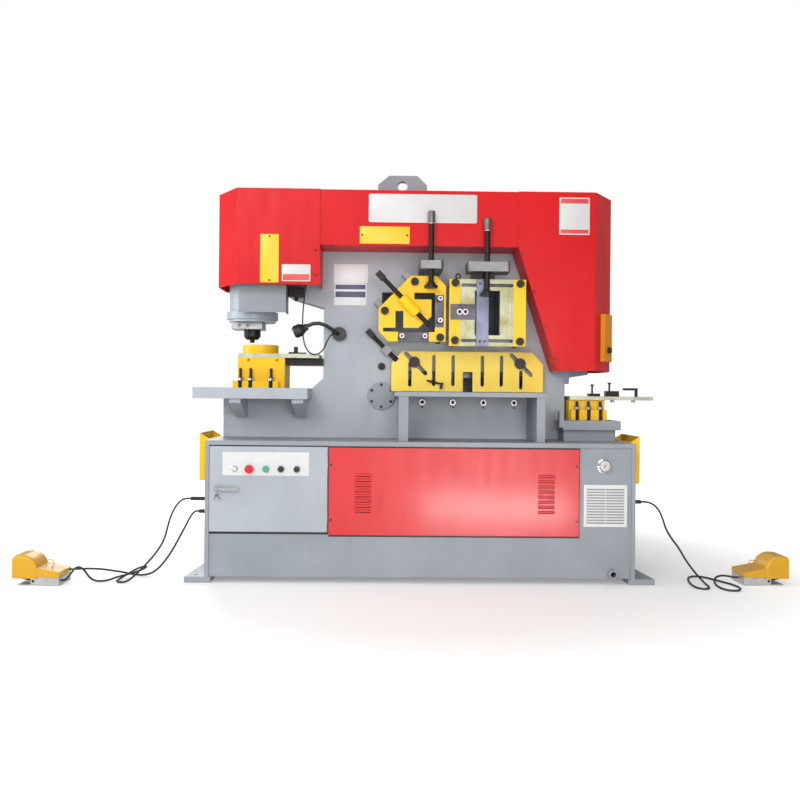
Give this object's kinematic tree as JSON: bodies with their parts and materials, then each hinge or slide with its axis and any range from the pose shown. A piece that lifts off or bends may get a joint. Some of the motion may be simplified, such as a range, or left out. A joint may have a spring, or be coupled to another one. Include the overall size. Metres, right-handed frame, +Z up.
{
  "type": "hydraulic ironworker",
  "caption": "Hydraulic ironworker with punch, angle, bar and flat shears and a notcher on a welded base, red hoods, yellow tooling and foot pedals on cords.",
  "frame": {"origin": "on the floor under the middle of the base, at the centre of the anchor holes", "axes": "+X to the right along the machine, +Y to the back, +Z up"},
  "size_m": [3.746, 1.0396, 2.09],
  "materials": {
    "black_oxide": "satin",
    "black_plastic": "satin",
    "blade_steel": "satin",
    "bright_steel": "satin",
    "chrome": "polished",
    "cord_rubber": "satin",
    "dull_steel": "satin",
    "green_plastic": "gloss",
    "grey_paint": "semi-gloss",
    "orange_paint": "semi-gloss",
    "red_paint": "gloss",
    "red_plastic": "gloss",
    "white_plastic": "satin",
    "yellow_paint": "semi-gloss"
  },
  "bodies": {
    "frame": {"base_cabinet": "grey_paint", "front_panel": "red_paint", "vent_grille": "white_plastic", "pressure_gauge": "chrome", "side_pockets": "orange_paint", "front_frame_plate": "grey_paint", "rear_frame_plate": "grey_paint", "punch_table": "grey_paint", "shear_table": "grey_paint", "notch_table": "grey_paint", "punch_cylinder": "grey_paint", "punch_guard": "grey_paint", "punch_bolster": "yellow_paint", "black_fittings": "black_oxide", "punch_support": "bright_steel", "left_cover": "red_paint", "top_cover": "red_paint", "right_cover": "red_paint", "tool_plates": "yellow_paint", "fixed_blades": "blade_steel", "screw_blocks": "bright_steel", "bar_shear_plate": "dull_steel", "rear_chutes": "grey_paint", "guard_clamp_bolts": "black_oxide", "frame_spacers": "grey_paint", "shear_cylinder": "grey_paint", "notch_die": "yellow_paint", "notch_support": "bright_steel", "limit_bracket": "orange_paint", "work_lamp": "black_plastic", "electric_plate": "bright_steel", "motor_pump": "grey_paint", "pedal_bases": "dull_steel", "pedal_hoods": "orange_paint", "cable_glands": "black_plastic", "left_cord": "cord_rubber", "left_cord_rear": "cord_rubber", "right_cord": "cord_rubber", "lamp_cord": "cord_rubber"},
    "ram": {"punch_ram": "bright_steel", "punch": "black_oxide"},
    "angle_screw": {"angle_screw": "black_oxide"},
    "diagonal_screw": {"diagonal_screw": "black_oxide"},
    "bar_screw": {"bar_screw": "black_oxide"},
    "strap": {"bar_strap": "dull_steel"},
    "guard": {"flat_guard": "yellow_paint", "guard_screw": "black_oxide"},
    "beam": {"shear_beam": "dull_steel", "beam_blades": "blade_steel"},
    "rod": {"shear_rod": "bright_steel"},
    "limit": {"limit_knob": "black_plastic"},
    "door": {"cabinet_door": "grey_paint", "control_plate": "white_plastic"},
    "handle": {"door_handle": "chrome"},
    "stop": {"stop_button": "red_plastic"},
    "start": {"start_button": "green_plastic"},
    "selector_l": {"left_selector": "black_plastic"},
    "selector_r": {"right_selector": "black_plastic"},
    "treadle_l": {"left_treadle": "black_oxide"},
    "treadle_r": {"right_treadle": "black_oxide"}
  },
  "joints": [
    {"name": "punch_stroke", "type": "slide", "parent": "frame", "child": "ram", "axis": [0, 0, -1], "range_m": [0, 0.068]},
    {"name": "angle_holddown", "type": "slide", "parent": "frame", "child": "angle_screw", "axis": [0, 0, -1], "range_m": [-0.05, 0.03]},
    {"name": "diagonal_holddown", "type": "slide", "parent": "frame", "child": "diagonal_screw", "axis": [0.7071, 0, -0.7071], "range_m": [-0.08, 0.02]},
    {"name": "bar_holddown", "type": "slide", "parent": "frame", "child": "bar_screw", "axis": [0, 0, -1], "range_m": [-0.06, 0.03]},
    {"name": "strap_slide", "type": "slide", "parent": "frame", "child": "strap", "axis": [1, 0, 0], "range_m": [0, 0.1]},
    {"name": "guard_slide", "type": "slide", "parent": "frame", "child": "guard", "axis": [0.7071, 0, -0.7071], "range_m": [-0.03, 0]},
    {"name": "beam_pivot", "type": "hinge", "parent": "frame", "child": "beam", "pos_m": [-0.2, 0, 0.913], "axis": [0, 1, 0], "range_deg": [0, 3.5]},
    {"name": "shear_stroke", "type": "slide", "parent": "frame", "child": "rod", "axis": [0, 0, -1], "range_m": [0, 0.061]},
    {"name": "limit_slide", "type": "slide", "parent": "frame", "child": "limit", "axis": [0, 0, 1], "range_m": [0, 0.11]},
    {"name": "door_hinge", "type": "hinge", "parent": "frame", "child": "door", "pos_m": [-0.458, -0.45, 0.455], "axis": [0, 0, 1], "range_deg": [0, 110]},
    {"name": "handle_turn", "type": "hinge", "parent": "door", "child": "handle", "pos_m": [-0.985, -0.45, 0.455], "axis": [0, 1, 0], "range_deg": [0, 90]},
    {"name": "stop_press", "type": "slide", "parent": "door", "child": "stop", "axis": [0, 1, 0], "range_m": [0, 0.006], "stiffness_N_per_m": 600, "springref_m": -0.002},
    {"name": "start_press", "type": "slide", "parent": "door", "child": "start", "axis": [0, 1, 0], "range_m": [0, 0.004], "stiffness_N_per_m": 600, "springref_m": -0.002},
    {"name": "selector_left_turn", "type": "hinge", "parent": "door", "child": "selector_l", "pos_m": [-0.682, -0.45, 0.553], "axis": [0, 1, 0], "range_deg": [-45, 45]},
    {"name": "selector_right_turn", "type": "hinge", "parent": "door", "child": "selector_r", "pos_m": [-0.605, -0.45, 0.553], "axis": [0, 1, 0], "range_deg": [-45, 45]},
    {"name": "treadle_left", "type": "hinge", "parent": "frame", "child": "treadle_l", "pos_m": [-1.839, -0.47, 0.02], "axis": [0, -1, 0], "range_deg": [0, 8], "stiffness_Nm_per_rad": 20, "springref_deg": -5.73},
    {"name": "treadle_right", "type": "hinge", "parent": "frame", "child": "treadle_r", "pos_m": [1.717, -0.365, 0.02], "axis": [0, 1, 0], "range_deg": [0, 8], "stiffness_Nm_per_rad": 20, "springref_deg": -5.73}
  ],
  "couplings": [
    {"joint": "shear_stroke", "follows": "beam_pivot", "m_per_rad": 0.965}
  ]
}
